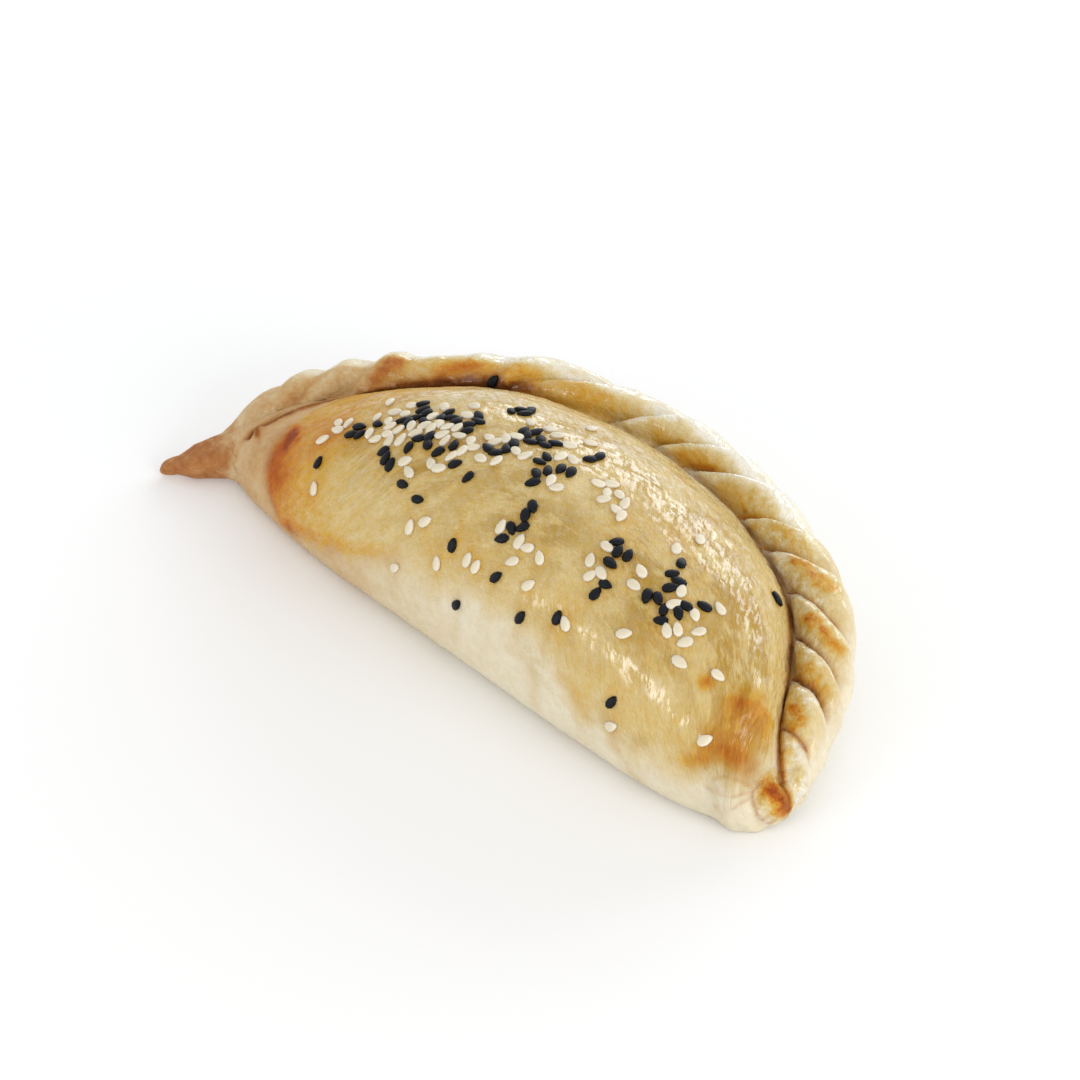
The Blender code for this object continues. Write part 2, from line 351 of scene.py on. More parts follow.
def pleat_skin(along, turn):
    """How far the pleats fall below their tops, how deep their creases are cut, and the place on
    a pleat: share of its length, and distance from the nearer crease."""
    creases = np.array([pleat[0] for pleat in PLEATS], float)
    marks = np.stack([np.interp(-turn, -np.array(CREASE_TURNS), crease) for crease in creases], -1)
    here = (along[..., None] >= marks).sum(-1) - 1
    inside = (here >= 0) & (here < len(PLEATS) - 1)
    here = np.clip(here, 0, len(PLEATS) - 2)
    low = np.take_along_axis(marks, here[..., None], -1)[..., 0]
    high = np.take_along_axis(marks, here[..., None] + 1, -1)[..., 0]
    f = np.clip((along - low) / (high - low), 0, 1)
    depth, front, back, fall, sharp = (np.array([pleat[n] for pleat in PLEATS]) for n in range(1, 6))
    own_depth = depth[here] + (depth[here + 1] - depth[here]) * ease(0.5, 1.0, f)
    rise = flank(f / front[here], sharp[here]) * flank((1 - f) / back[here], sharp[here + 1])
    rise *= 1 - fall[here] * ease(front[here], 1.0, f)
    nearer = np.where(f < 0.5, sharp[here], sharp[here + 1])
    gap = np.where(inside, np.minimum(along - low, high - along), 9.0)
    cut = CREASE_CUT * nearer * np.exp(-(gap / CREASE_HALF) ** 2)
    drop = np.where(inside, own_depth * (1 - rise), 0.4)
    return drop, cut, np.where(inside, f, 0.5), gap


def loft(t, along):
    """Points of every ring, and each one's angle round the rope where it is on the rope."""
    columns = spline(STATIONS, t)
    fold_x, fold_y, rope_x, rope_y, rope_z, rope_r, crest, share, groove_turn = (
        columns[:, [n]] for n in range(9))
    width = np.hypot(rope_x - fold_x, rope_y - fold_y)
    across_x = (rope_x - fold_x) / width
    across_y = (rope_y - fold_y) / width
    body = ease(0.0, BELLY_WIDTH, width)
    edge = -rope_r * (1 - body)
    edge_z = rope_z + (FOLD_ROUND * crest - rope_z) * body
    base_edge = edge + FOLD_TUCK * edge_z * (0.6 + 0.4 * body)

    def place(distance, height):
        height = height + 0 * distance
        return np.stack((fold_x + across_x * distance, fold_y + across_y * distance, height), -1)

    a = np.arange(LOW_FOLD)[None] / LOW_FOLD * math.pi / 2
    low_fold = place(base_edge + (edge - base_edge) * np.sin(a), edge_z * (1 - np.cos(a)))
    a = np.arange(HIGH_FOLD)[None] / HIGH_FOLD * math.pi / 2
    high_fold = place(edge + (share * width - edge) * (1 - np.cos(a)),
                      edge_z + (crest - edge_z) * np.sin(a) ** FOLD_SWELL)

    last = len(STATIONS) - 1
    ahead = spline(STATIONS, np.minimum(t + 0.05, last))[:, 2:4]
    behind = spline(STATIONS, np.maximum(t - 0.05, 0))[:, 2:4]
    run = (ahead - behind) / np.linalg.norm(ahead - behind, axis=1, keepdims=True)
    k = np.arange(ROPE + 1)[None] / ROPE
    turn = groove_turn + (ROPE_END - groove_turn) * k
    lengths = along[:, None] + 0 * turn
    drop, cut, f, gap = pleat_skin(lengths, turn)
    fade = ease(-70.0, 60.0, turn) * (0.55 + 0.45 * ease(0.0, 60.0, turn))
    bank = flank((groove_turn - turn) / GROOVE_BANK, 0.6)
    plain = rope_r * (1 - GROOVE_CUT * body * ease(-40.0, 0.0, turn - groove_turn))
    layers = 0.08 * np.cos(2 * math.pi * gap / LAYER_PITCH) * np.exp(-gap / 2.0)
    crown = np.interp(lengths, *zip(*PLEAT_TOP))
    radius = plain + body * fade * bank * (crown - drop - cut + layers)
    sink = np.interp(along, GROOVE[:, 0], GROOVE[:, 1])[:, None]
    radius = radius - sink * body * (1 - bank)
    c = radius * np.cos(np.radians(turn))
    s = radius * np.sin(np.radians(turn))
    rope = np.stack((rope_x - run[:, [1]] * c, rope_y + run[:, [0]] * c, rope_z + s), -1)

    groove = rope[:, :1]
    top = place(share * width, crest)
    q = (np.arange(BELLY)[None, :, None] / BELLY) ** 0.8
    belly = top + (groove - top) * q
    belly[..., 2] = (groove[..., 2] + (crest - groove[..., 2])
                     * np.cos(math.pi / 2 * q[..., 0] ** BELLY_SWELL))

    under = rope[:, -1:]
    inset = np.maximum(base_edge + 0.3, width - rope_r - 1.2 * under[..., 2])
    q = np.arange(1, UNDERSIDE + 1)[None, :, None] / UNDERSIDE
    foot = place(inset, 0.0)
    underside = under + (foot - under) * q
    underside[..., 2] = under[..., 2] * (1 - q[..., 0]) ** 2
    k = np.arange(1, BASE)[None] / BASE
    base = place(inset + (base_edge - inset) * k, 0.0)

    points = np.concatenate((low_fold, high_fold, belly, rope, underside, base), axis=1)
    shape = points.shape[:2]
    masks = {"turn": np.full(shape, 999.0), "cut": np.zeros(shape), "f": np.full(shape, 0.5),
             "gap": np.full(shape, 9.0)}
    on_rope = slice(GROOVE_POINT, GROOVE_POINT + ROPE + 1)
    for name, value in (("turn", turn), ("cut", cut), ("f", f), ("gap", gap)):
        masks[name][:, on_rope] = value
    return points, masks


def round_tips(points, along):
    """Near a tip, a ring shrinks towards its middle as a ball's slices do."""
    distance = np.minimum(along, along[-1] - along)
    share = np.minimum(distance / TIP_ROUND, 1)
    size = np.maximum(np.sqrt(1 - (1 - share) ** 2), 0.1)
    size = (size * np.interp(along, *zip(*TAIL_SWELL)))[:, None, None]
    middle = points.mean(axis=1, keepdims=True)
    middle[..., 2] *= 0.35 + 0.65 * ease(0.0, 22.0, along)[:, None]
    return middle + (points - middle) * size


def swell_knob(points):
    """Points inside the knob move out to the knob's skin."""
    offset = points - KNOB_CENTRE
    reach = np.linalg.norm(offset / KNOB_RADII, axis=-1, keepdims=True)
    inside = (reach > 0) & (reach < 1)
    points = np.where(inside, KNOB_CENTRE + offset / np.maximum(reach, 0.05), points)
    points[..., 2] = np.maximum(points[..., 2], 0)
    return points


def skin_normals(points):
    """Outward unit normal at every ring point."""
    along = np.gradient(points, axis=0)
    round_ring = np.roll(points, -1, axis=1) - np.roll(points, 1, axis=1)
    normals = np.cross(round_ring, along)
    return normals / np.maximum(np.linalg.norm(normals, axis=-1, keepdims=True), 1e-9)


def ring_distance(points):
    """Distance of every ring point from the groove, round the ring, minus on the belly."""
    steps = np.linalg.norm(np.diff(points, axis=1), axis=-1)
    walked = np.concatenate((np.zeros((len(points), 1)), np.cumsum(steps, axis=1)), axis=1)
    return walked - walked[:, [GROOVE_POINT]]


def line_distance(line, skin, normals):
    """Distance of every skin point from a smooth line laid on the skin through a few points."""
    line = np.array(line, float)
    t = np.linspace(0, len(line) - 1, 1 + 5 * (len(line) - 1))
    laid = []
    for point in spline(line, t) if len(line) > 1 else line:
        near = np.argmin(((skin - point) ** 2).sum(-1))
        laid.append(point - normals[near] * ((point - skin[near]) @ normals[near]))
    nearest = np.linalg.norm(skin - laid[0], axis=-1)
    for start, end in zip(laid, laid[1:]):
        step = end - start
        share = np.clip((skin - start) @ step / max(step @ step, 1e-9), 0, 1)[:, None]
        nearest = np.minimum(nearest, np.linalg.norm(skin - start - share * step, axis=-1))
    return nearest


def lumps(skin, size, octaves=2, seed=0.0):
    """Smooth noise of about -1 to 1 at every skin point, with lumps of a size."""
    shift = Vector((seed, seed * 1.7, seed * 0.3))
    return np.array([noise.fractal(Vector(point) / size + shift, 1.0, 2.0, octaves)
                     for point in skin.tolist()])


def rope_distance(line, lengths, turn):
    """Distance of every point of the rope from a smooth line drawn on it, measured on the skin."""
    line = np.array(line, float)
    t = np.linspace(0, len(line) - 1, 1 + 4 * (len(line) - 1))
    line = spline(line, t) * (1, ROPE_MM_PER_DEGREE)
    skin = np.stack((lengths, turn * ROPE_MM_PER_DEGREE), -1)
    nearest = np.linalg.norm(skin - line[0], axis=-1)
    for start, end in zip(line, line[1:]):
        step = end - start
        share = np.clip((skin - start) @ step / (step @ step), 0, 1)[:, None]
        nearest = np.minimum(nearest, np.linalg.norm(skin - start - share * step, axis=-1))
    return nearest


def sprinkle():
    """Where every white and black seed lies: x, y and heading."""
    source = random.Random(11)
    white = list(LONE_WHITE)
    black = list(LONE_BLACK)
    for x, y, half_x, half_y, whites, blacks in SPRINKLES:
        for kind, count in ((black, blacks), (white, whites)):
            placed = 0
            beside = None
            while placed < count:
                if beside and kind is black and source.random() < 0.5:
                    a = source.uniform(0, 2 * math.pi)
                    at = (beside[0] + 2.0 * math.cos(a), beside[1] + 2.0 * math.sin(a))
                else:
                    at = (x + half_x * source.gauss(0, 0.6), y + half_y * source.gauss(0, 0.6))
                if all(math.dist(at, other[:2]) > SEED_GAP for other in white + black):
                    kind.append((*at, source.uniform(0, 360)))
                    beside = at
                    placed += 1
    return white, black


def seed_browning_and_shade(skin, places, half=1.6):
    """1 under a seed, falling to 0 a little way off, seen from above: where browning and painted
    contact shade lie.
    """
    nearest = np.full(len(skin), 99.0)
    for place in places:
        nearest = np.minimum(nearest, np.hypot(*(skin[:, :2] - place[:2]).T))
    return np.exp(-(nearest / half) ** 2)


def finish_skin(points, masks, along, seed_places):
    """Fine relief on the rings, and the crust's masks."""
    shape = points.shape[:2]
    normals = skin_normals(points).reshape(-1, 3)
    skin = points.reshape(-1, 3)
    around = ring_distance(points).reshape(-1)
    flat = {name: value.reshape(-1) for name, value in masks.items()}
    lengths = np.repeat(along, shape[1])
    turn = flat["turn"]
    on_rope = turn < 900
    x, y, z = skin.T

    tips = ease(2.0, 12.0, np.minimum(lengths, along[-1] - lengths))
    low = ease(0.3, 3.0, z)
    height = 0.5 * lumps(skin, 22.0, 2, 3.0) + 0.16 * lumps(skin, 5.0, 2, 7.0)
    height += 0.06 * lumps(skin, 1.6, 2, 11.0)
    run = np.stack((lengths, around, np.zeros_like(around)), -1)
    height += 0.12 * lumps(run * (0.25, 1.0, 1.0), 1.7, 2, 17.0)
    height += 0.04 * lumps(run * (0.5, 1.0, 1.0), 0.9, 2, 23.0)
    height *= low * tips

    depth, half, place, brown_and_shade, dark_half, dark_place = (
        np.interp(lengths, GROOVE[:, 0], GROOVE[:, n]) for n in range(2, 8))
    groove = np.exp(-((around - place) / half) ** 2)
    sag = depth * groove

    wash_low = np.interp(x, *zip(*WASH_EDGE))
    soft = 0.8 + 4.2 * ease(-30.0, 5.0, x)
    wash = ease(-1, 1, (z - wash_low - 1.0 + 2.2 * lumps(skin, 6.0, 3, 5.0)) / soft)
    wash = np.where(on_rope, ease(25.0, 62.0, turn), wash)
    collar = ease(-52.0, -50.8, x + 0.3 * (z - 14) + 1.2 * lumps(skin, 4.0, 2, 6.0))
    wash *= np.where(on_rope, ease(14.0, 30.0, lengths), collar)
    wash *= 1 - 0.80 * on_rope * (1 - ease(40.0, 58.0, lengths))
    wash = np.where((turn > 900) & (around > 0), 0, wash)
    wash = np.maximum(wash, ease(1.1, 0.9, np.linalg.norm((skin - KNOB_WASH) / 5.5, axis=-1)))

    f = flat["f"]
    side = ease(15.0, 50.0, turn)
    edge = ease(0.3, 2.2, flat["gap"])
    lobes = 0.05 + 0.14 * side * edge * ease(0.05, 0.40, f)
    # Flat pleats pale at the ridge and browner down the face: baking, with a painted highlight on the
    # ridge and painted shade on the face
    flat_pleats = 0.02 + 0.23 * ease(66.0, 96.0, turn) * ease(0.18, 0.50, f)
    plain_rope = 0.05 + 0.34 * ease(86.0, 104.0, turn)
    # The rope's outer top is pale past 34 mm along it: pale dry dough, and partly a painted highlight
    start = 0.34 - 0.28 * ease(24.0, 34.0, lengths) * (1 - ease(66.0, 90.0, turn))
    face = start + (plain_rope - start) * ease(60.0, 67.0, lengths)
    face = face + (flat_pleats - face) * ease(92.0, 100.0, lengths)
    face = face + (lobes - face) * ease(138.0, 152.0, lengths)
    tail_side = 1 - ease(-44.0, -22.0, x)
    tan = 0.03 + 0.27 * (1 - ease(-32.0, 14.0, x)) + 0.06 * tail_side
    bake = np.where(on_rope, face, tan + (0.30 + 0.17 * tail_side - tan) * wash)
    # Painted shade and browning in the creases: their cut darkens the crease mask, and so does a
    # painted shade on each pleat's back beside the next crease
    shade = np.exp(-(flat["gap"] / 1.2) ** 2) * (f > 0.5) * ease(90.0, 110.0, lengths)
    crease = np.clip(1.3 * flat["cut"] + 0.12 * shade, 0, 1) * ease(25.0, 60.0, turn) * on_rope
    # Browning beside the creases, heavier on each pleat's back where the crease's shade falls: baking
    # and painted shade
    warm = np.exp(-(flat["gap"] / 1.3) ** 2) * ease(100.0, 125.0, lengths) * ease(25.0, 60.0, turn)
    bake += 0.26 * warm * on_rope * (0.4 + 0.6 * (f > 0.5))
    # Painted shadow and browning along the groove beside the belly
    crease = np.maximum(crease, brown_and_shade * np.exp(-((around - dark_place) / dark_half) ** 2))
    flaky = (0.45 + 0.55 * ease(125.0, 150.0, lengths)) * (0.25 + 0.75 * ease(55.0, 85.0, turn))
    flaky = np.where(on_rope, flaky, 0.12)
    flaky = np.maximum(flaky, 0.6 * (1 - ease(14.0, 20.0, lengths)))
    near_knob = ease(1.3, 0.9, np.linalg.norm((skin - KNOB_WASH) / 5.5, axis=-1))
    flaky = np.maximum(flaky, near_knob)
    for half, strength, line in BAKED:
        bake += strength * np.exp(-(line_distance(line, skin, normals) / half) ** 2)
    for half, strength, line in BAKED_ROPE:
        bake += on_rope * strength * np.exp(-(rope_distance(line, lengths, turn) / half) ** 2)
    # Each hollow is dented and painted with its shade at full darkness
    for half, depth, line in HOLLOWS:
        near = on_rope * np.exp(-(rope_distance(line, lengths, turn) / half) ** 2)
        height -= depth * near
        crease = np.maximum(crease, near)
    # Each wrinkle is dented and painted with browning and shade
    for half, depth, brown_and_shade, line in WRINKLES:
        near = np.exp(-(line_distance(line, skin, normals) / half) ** 2)
        height -= depth * near
        crease = np.maximum(crease, brown_and_shade * near)
    height += 0.3 * lumps(skin, 1.6, 2, 31.0) * (near_knob > 0.5)
    for half, rise, line in RIDGES:
        height += rise * np.exp(-(line_distance(line, skin, normals) / half) ** 2)
    film = wash * ~on_rope * ease(16.0, 27.0, z) * (0.35 + 0.3 * lumps(skin, 9.0, 2, 2.0))
    for half, strength, line in FILM:
        film += strength * np.exp(-(line_distance(line, skin, normals) / half) ** 2) * ~on_rope
    bake += 0.29 * (1 - ease(10.0, 16.0, lengths + 3.0 * lumps(skin, 4.0, 2, 9.0)))
    # Browning and painted contact shade round every seed on the belly
    bake += 0.10 * seed_browning_and_shade(skin, seed_places) * (z > 8) * ~on_rope

    skin = skin + normals * height[:, None]
    skin[:, 2] -= sag
    skin[:, 2] = np.maximum(skin[:, 2], 0)
    return skin, {"bake": bake, "wash": wash, "crease": crease, "film": film, "flaky": flaky,
                  "run": run}


def crust_mesh(seed_places):
    """A closed cylinder of many rings, each ring pulled to its place on the crust."""
    t, along = rings_along_rope()
    points, masks = loft(t, along)
    points = swell_knob(round_tips(points, along))
    middle = (points.reshape(-1, 3).min(axis=0) + points.reshape(-1, 3).max(axis=0)) / 2
    cad_middle = (CAD_BOX[0] + CAD_BOX[1]) / (2 * MM)
    shift = np.array((cad_middle.x, cad_middle.y, 0)) - (middle[0], middle[1], 0)
    points = points + shift
    skin, masks = finish_skin(points, masks, along, seed_places)

    sides = points.shape[1]
    mesh = bmesh.new()
    bmesh.ops.create_cone(mesh, cap_ends=True, segments=sides, radius1=1, radius2=1, depth=1)
    upright = [edge for edge in mesh.edges if abs(edge.verts[0].co.z - edge.verts[1].co.z) > 0.5]
    bmesh.ops.subdivide_edges(mesh, edges=upright, cuts=SLICES - 1)
    data = bpy.data.meshes.new("crust_glazed")
    mesh.to_mesh(data)
    mesh.free()

    plain = np.zeros(len(data.vertices) * 3, np.float32)
    data.vertices.foreach_get("co", plain)
    px, py, pz = plain.reshape(-1, 3).T
    ring = np.rint((pz + 0.5) * SLICES).astype(int)
    spoke = np.rint(-np.arctan2(py, px) / (2 * math.pi) * sides).astype(int) % sides
    order = ring * sides + spoke
    data.vertices.foreach_set("co", (skin[order] * MM).astype(np.float32).ravel())
    for name, value in masks.items():
        kind, field = ("FLOAT_VECTOR", "vector") if value.ndim > 1 else ("FLOAT", "value")
        attribute = data.attributes.new(name, kind, "POINT")
        attribute.data.foreach_set(field, value[order].astype(np.float32).ravel())
    data.update()
    data.shade_smooth()
    return data


# ---- Materials ---------------------------------------------------------------------------------


def new_material(name):
    material = bpy.data.materials.new(name)
    material.use_nodes = True
    tree = material.node_tree
    return material, tree, tree.nodes["Principled BSDF"]


def node(tree, kind, **settings):
    """A new node with properties set by name."""
    made = tree.nodes.new(kind)
    for name, value in settings.items():
        setattr(made, name, value)
    return made


def math_node(tree, operation, a, b, clamp=False):
    made = node(tree, "ShaderNodeMath", operation=operation, use_clamp=clamp)
    for socket, value in zip(made.inputs, (a, b)):
        if isinstance(value, (int, float)):
            socket.default_value = value
        else:
            tree.links.new(value, socket)
    return made.outputs[0]


def multiply_add(tree, value, factor, addend, clamp=False):
    made = node(tree, "ShaderNodeMath", operation="MULTIPLY_ADD", use_clamp=clamp)
    tree.links.new(value, made.inputs[0])
    made.inputs[1].default_value = factor
    made.inputs[2].default_value = addend
    return made.outputs[0]


def noise_node(tree, vector, scale, detail=2.0, roughness=0.5):
    made = node(tree, "ShaderNodeTexNoise")
    tree.links.new(vector, made.inputs["Vector"])
    made.inputs["Scale"].default_value = scale
    made.inputs["Detail"].default_value = detail
    made.inputs["Roughness"].default_value = roughness
    return made.outputs["Fac"]


def stretched_noise(tree, vector, turned, scale):
    """Noise on the run along and round the rope, turned on the skin and stretched."""
    mapping = node(tree, "ShaderNodeMapping", vector_type="TEXTURE")
    mapping.inputs["Rotation"].default_value = (0, 0, math.radians(turned))
    mapping.inputs["Scale"].default_value = tuple(1 / part for part in scale)
    tree.links.new(vector, mapping.inputs["Vector"])
    return noise_node(tree, mapping.outputs["Vector"], 1.0, 4.0, 0.65)


def mask_node(tree, name):
    return node(tree, "ShaderNodeAttribute", attribute_name=name).outputs["Fac"]


def ramp_node(tree, factor, stops):
    """A colour ramp through (place, colour) stops."""
    made = node(tree, "ShaderNodeValToRGB")
    elements = made.color_ramp.elements
    while len(elements) < len(stops):
        elements.new(0.5)
    for element, (place, colour) in zip(elements, stops):
        element.position = place
        element.color = (*colour, 1)
    tree.links.new(factor, made.inputs["Fac"])
    return made.outputs["Color"]


def mix_node(tree, factor, a, b, blend="MIX"):
    made = node(tree, "ShaderNodeMix", data_type="RGBA", blend_type=blend)
    for name, value in (("Factor_Float", factor), ("A_Color", a), ("B_Color", b)):
        socket = next(s for s in made.inputs if s.identifier == name)
        if isinstance(value, tuple):
            socket.default_value = (*value, 1)
        elif isinstance(value, (int, float)):
            socket.default_value = value
        else:
            tree.links.new(value, socket)
    return next(s for s in made.outputs if s.identifier == "Result_Color")


WASHED_STOPS = (
    (0.00, (0.84, 0.79, 0.67)),
    (0.15, (0.76, 0.63, 0.36)),
    (0.30, (0.66, 0.49, 0.19)),
    (0.45, (0.64, 0.37, 0.050)),
    (0.60, (0.58, 0.23, 0.012)),
    (0.75, (0.46, 0.11, 0.004)),
    (0.90, (0.29, 0.05, 0.002)),
)
DRY_STOPS = (
    (0.00, (0.78, 0.71, 0.54)),
    (0.20, (0.68, 0.55, 0.34)),
    (0.40, (0.57, 0.36, 0.17)),
    (0.60, (0.44, 0.19, 0.065)),
    (0.90, (0.24, 0.06, 0.012)),
)
FILM_TINT = (0.68, 0.56, 0.23)
# Colours of the creases, the groove, the hollows and the wrinkles by how dark they are: browning and
# painted shade
CREASE_BROWN_AND_SHADE_STOPS = (
    (0.00, (0.56, 0.26, 0.060)),
    (0.45, (0.38, 0.14, 0.025)),
    (0.90, (0.14, 0.040, 0.008)),
)


def glazed_crust():
    """Dough pale, golden or brown by how it is baked, browned and painted with shade in its creases,
    groove, hollows and wrinkles, and shiny where washed with egg.
    """
    material, tree, shader = new_material("glazed_crust")
    place = node(tree, "ShaderNodeTexCoord").outputs["Object"]
    wash = mask_node(tree, "wash")
    run = node(tree, "ShaderNodeAttribute", attribute_name="run").outputs["Vector"]

    broad = noise_node(tree, place, 110.0, 3.0)
    fine = noise_node(tree, place, 520.0, 4.0, 0.6)
    grain = noise_node(tree, place, 2200.0, 3.0, 0.6)
    streaks = stretched_noise(tree, run, 14.0, (0.28, 0.85, 1.0))
    cross_streaks = stretched_noise(tree, run, -38.0, (0.30, 0.95, 1.0))
    flakes = math_node(tree, "MULTIPLY", streaks, cross_streaks)
    scratches = stretched_noise(tree, run, 8.0, (0.30, 1.5, 1.0))

    bake = multiply_add(tree, broad, 0.22, -0.11)
    bake = math_node(tree, "ADD", bake, multiply_add(tree, fine, 0.20, -0.10))
    grained = math_node(tree, "ADD", multiply_add(tree, streaks, 0.14, -0.07),
                        multiply_add(tree, scratches, 0.12, -0.06))
    bake = math_node(tree, "ADD", bake, math_node(tree, "MULTIPLY", wash, grained))
    flaky = math_node(tree, "MULTIPLY", mask_node(tree, "flaky"),
                      noise_node(tree, place, 700.0, 5.0, 0.65))
    bake = math_node(tree, "ADD", bake, multiply_add(tree, flaky, 1.0, 0.0))
    bake = math_node(tree, "ADD", bake, multiply_add(tree, mask_node(tree, "flaky"), -0.5, 0.0))
    bake = math_node(tree, "ADD", bake, mask_node(tree, "bake"), clamp=True)
    washed = ramp_node(tree, bake, WASHED_STOPS)
    colour = mix_node(tree, wash, ramp_node(tree, bake, DRY_STOPS), washed)
    strokes = stretched_noise(tree, run, 24.0, (0.07, 0.20, 1.0))
    strokes = math_node(tree, "ADD", strokes, multiply_add(tree, scratches, 0.30, -0.15))
    patches = multiply_add(tree, strokes, 9.0, -3.9, clamp=True)
    film = math_node(tree, "MULTIPLY", mask_node(tree, "film"), multiply_add(tree, patches, 0.8, 0.2))
    colour = mix_node(tree, film, colour, FILM_TINT, "MULTIPLY")
    # Browning and painted shade in the creases, the groove, the hollows and the wrinkles
    brown_and_shade = math_node(tree, "MULTIPLY", mask_node(tree, "crease"), math_node(tree, "ADD", fine, 0.45),
                     clamp=True)
    shaded_and_browned = multiply_add(tree, brown_and_shade, 1.6, 0.0, clamp=True)
    colour = mix_node(tree, shaded_and_browned, colour, ramp_node(tree, brown_and_shade, CREASE_BROWN_AND_SHADE_STOPS))
    tree.links.new(colour, shader.inputs["Base Color"])

    dry = multiply_add(tree, wash, -0.26, 0.54)
    rough = math_node(tree, "ADD", dry, math_node(tree, "MULTIPLY", fine, 0.10))
    tree.links.new(rough, shader.inputs["Roughness"])
    patchy = multiply_add(tree, flakes, 18.0, -4.0, clamp=True)
    patchy = math_node(tree, "MULTIPLY", patchy, multiply_add(tree, bake, -2.4, 1.7, clamp=True))
    coat = math_node(tree, "MULTIPLY", wash, patchy)
    tree.links.new(coat, shader.inputs["Coat Weight"])
    shader.inputs["Coat Roughness"].default_value = 0.17
    shader.inputs["Coat IOR"].default_value = 1.8
    shader.inputs["Specular IOR Level"].default_value = 0.15
    shader.inputs["Subsurface Weight"].default_value = 0.12
    shader.inputs["Subsurface Radius"].default_value = (1.0, 0.5, 0.2)
    shader.inputs["Subsurface Scale"].default_value = 0.0012

    height = math_node(tree, "ADD", math_node(tree, "MULTIPLY", grain, 0.3), fine)
    height = math_node(tree, "ADD", height, math_node(tree, "MULTIPLY", flakes, 2.2))
    height = math_node(tree, "ADD", height, math_node(tree, "MULTIPLY", flaky, 2.5))
    height = math_node(tree, "ADD", height, math_node(tree, "MULTIPLY", scratches, wash))
    bump = node(tree, "ShaderNodeBump")
    bump.inputs["Strength"].default_value = 0.6
    bump.inputs["Distance"].default_value = 0.0005
    tree.links.new(height, bump.inputs["Height"])
    tree.links.new(bump.outputs["Normal"], shader.inputs["Normal"])
    return material


def floor_paper():
    material, tree, shader = new_material("floor_paper")
    shader.inputs["Base Color"].default_value = (0.95, 0.95, 0.95, 1)
    shader.inputs["Roughness"].default_value = 0.9
    return material


def crust(seed_places):
    """The whole crust, in the CAD crust's place."""
    piece = bpy.data.objects.new("crust_glazed", crust_mesh(seed_places))
    piece.data.materials.append(glazed_crust())
    bpy.context.scene.collection.objects.link(piece)
    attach(piece, "root")
    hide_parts("crust")
    return piece


def seed_skin(corner):
    """A point of a unit ball moved to a flat seed, lying along X with its pointed end at +X."""
    reach = math.hypot(corner.x, corner.y)
    point_side = corner.x / max(reach, 1e-6)
    narrow = 1.12 * (0.5 - 0.5 * point_side * min(reach, 1)) ** 0.22
    rim = 0.10 * math.exp(-((reach - 0.8) / 0.16) ** 2)
    lift = math.copysign(abs(corner.z) ** 0.75, corner.z) + rim * (corner.z > 0)
    return Vector((corner.x * SEED_LENGTH, corner.y * narrow * SEED_WIDTH, lift * SEED_THICKNESS)) / 2


def seeds(name, places, material, crust_piece, source):
    """Seeds of one kind, laid on the crust and joined in one piece."""
    surface = bmesh.new()
    surface.from_mesh(crust_piece.data)
    tree = BVHTree.FromBMesh(surface)
    surface.free()
    mesh = bmesh.new()
    tone = mesh.verts.layers.float.new("tone")
    rim = mesh.verts.layers.float.new("rim")
    for x, y, heading in places:
        spot, normal, _, _ = tree.ray_cast(Vector((x, y, 60)) * MM, Vector((0, 0, -1)))
        a = math.radians(heading + source.uniform(-4, 4))
        ahead = Vector((math.cos(a), math.sin(a), 0))
        up = (normal + 0.12 * Vector((source.uniform(-1, 1), source.uniform(-1, 1), 0))).normalized()
        ahead.z = -(up.x * ahead.x + up.y * ahead.y) / up.z
        ahead.normalize()
        side = up.cross(ahead)
        size = source.uniform(0.92, 1.06)
        own_tone = source.random()
        middle = spot / MM + normal * (SEED_THICKNESS / 2 - SEED_SUNK)
        ball = bmesh.ops.create_uvsphere(mesh, u_segments=SEED_SPOKES, v_segments=SEED_RINGS, radius=1)
        for vert in ball["verts"]:
            vert[tone] = own_tone
            vert[rim] = min(math.hypot(vert.co.x, vert.co.y), 1)
            point = seed_skin(vert.co) * size
            vert.co = (middle + ahead * point.x + side * point.y + up * point.z) * MM
    data = bpy.data.meshes.new(name)
    mesh.to_mesh(data)
    mesh.free()
    data.shade_smooth()
    data.materials.append(material)
    piece = bpy.data.objects.new(name, data)
    bpy.context.scene.collection.objects.link(piece)
    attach(piece, "root")


def seed_coat(name, middle, edge, roughness, shine):
    """A seed's colour: middle to rim, a little different from seed to seed."""
    material, tree, shader = new_material(name)
    place = node(tree, "ShaderNodeTexCoord").outputs["Object"]
    speckle = noise_node(tree, place, 1800.0, 2.0)
    rim = ramp_node(tree, mask_node(tree, "rim"), ((0.55, middle), (0.85, edge)))
    tone = math_node(tree, "MULTIPLY", mask_node(tree, "tone"), 0.22)
    shade = math_node(tree, "ADD", tone, math_node(tree, "MULTIPLY", speckle, 0.2))
    colour = mix_node(tree, shade, rim, tuple(0.62 * part for part in middle))
    tree.links.new(colour, shader.inputs["Base Color"])
    shader.inputs["Roughness"].default_value = roughness
    shader.inputs["Specular IOR Level"].default_value = shine
    return material


# ---- Studio ------------------------------------------------------------------------------------


def direction(azimuth, elevation):
    """Unit vector from the object towards an azimuth, 0 in front along -Y, and an elevation."""
    a = math.radians(azimuth)
    e = math.radians(elevation)
    return Vector((math.sin(a) * math.cos(e), -math.cos(a) * math.cos(e), math.sin(e)))


def studio_floor():
    mesh = bmesh.new()
    bmesh.ops.create_grid(mesh, x_segments=1, y_segments=1, size=3)
    data = bpy.data.meshes.new("floor")
    mesh.to_mesh(data)
    mesh.free()
    floor = bpy.data.objects.new("floor", data)
    data.materials.append(floor_paper())
    bpy.context.scene.collection.objects.link(floor)


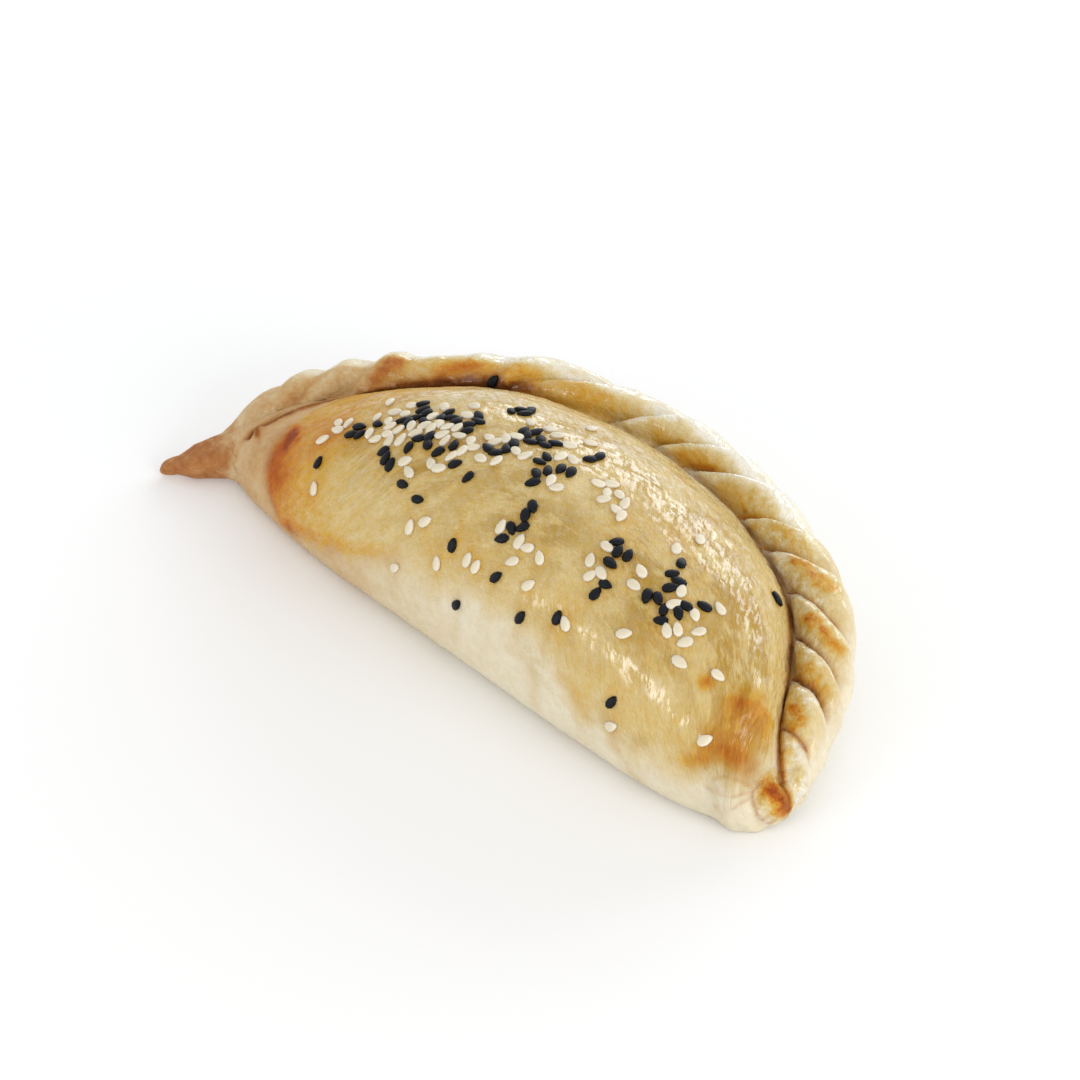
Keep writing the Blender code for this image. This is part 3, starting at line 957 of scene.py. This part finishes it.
def softbox(name, azimuth, elevation, distance, width, height, power, colour=(1, 1, 1)):
    """A rectangular lamp that faces the object."""
    lamp = bpy.data.lights.new(name, "AREA")
    lamp.shape = "RECTANGLE"
    lamp.size = width
    lamp.size_y = height
    lamp.energy = power
    lamp.color = colour
    back = direction(azimuth, elevation)
    holder = bpy.data.objects.new(name, lamp)
    holder.location = back * distance
    holder.rotation_mode = "QUATERNION"
    holder.rotation_quaternion = back.to_track_quat("Z", "Y")
    bpy.context.scene.collection.objects.link(holder)


def studio_lights():
    world = bpy.data.worlds.new("pale_room")
    world.use_nodes = True
    backdrop = world.node_tree.nodes["Background"]
    backdrop.inputs["Color"].default_value = (1.0, 0.995, 0.985, 1)
    backdrop.inputs["Strength"].default_value = 0.78
    bpy.context.scene.world = world
    softbox("window", -165.0, 20.0, 0.9, 1.1, 0.40, 4.3, (0.84, 0.92, 1.0))
    softbox("side_fill", 85.0, 20.0, 1.0, 0.7, 0.5, 3.8)
    softbox("front_fill", -10.0, 24.0, 1.0, 0.5, 0.18, 1.6)
    bpy.context.scene.view_settings.view_transform = "Standard"


def camera():
    lens = bpy.data.cameras.new("camera")
    lens.lens = CAMERA_LENS
    lens.sensor_width = 36.0
    lens.clip_start = 0.01
    back = direction(CAMERA_AZIMUTH, CAMERA_ELEVATION)
    holder = bpy.data.objects.new("camera", lens)
    holder.location = (CAMERA_AIM + CAMERA_DISTANCE * back) * MM
    holder.rotation_mode = "QUATERNION"
    holder.rotation_quaternion = (-back).to_track_quat("-Z", "Y")
    bpy.context.scene.collection.objects.link(holder)
    bpy.context.scene.camera = holder


def main():
    camera()
    studio_floor()
    studio_lights()
    white, black = sprinkle()
    piece = crust(white + black)
    white_coat = seed_coat("white_sesame", (0.80, 0.71, 0.52), (0.86, 0.80, 0.68), 0.5, 0.3)
    black_coat = seed_coat("black_sesame", (0.007, 0.008, 0.013), (0.003, 0.003, 0.004), 0.45, 0.18)
    source = random.Random(7)
    seeds("white_seeds", white, white_coat, piece, source)
    seeds("black_seeds", black, black_coat, piece, source)


main()
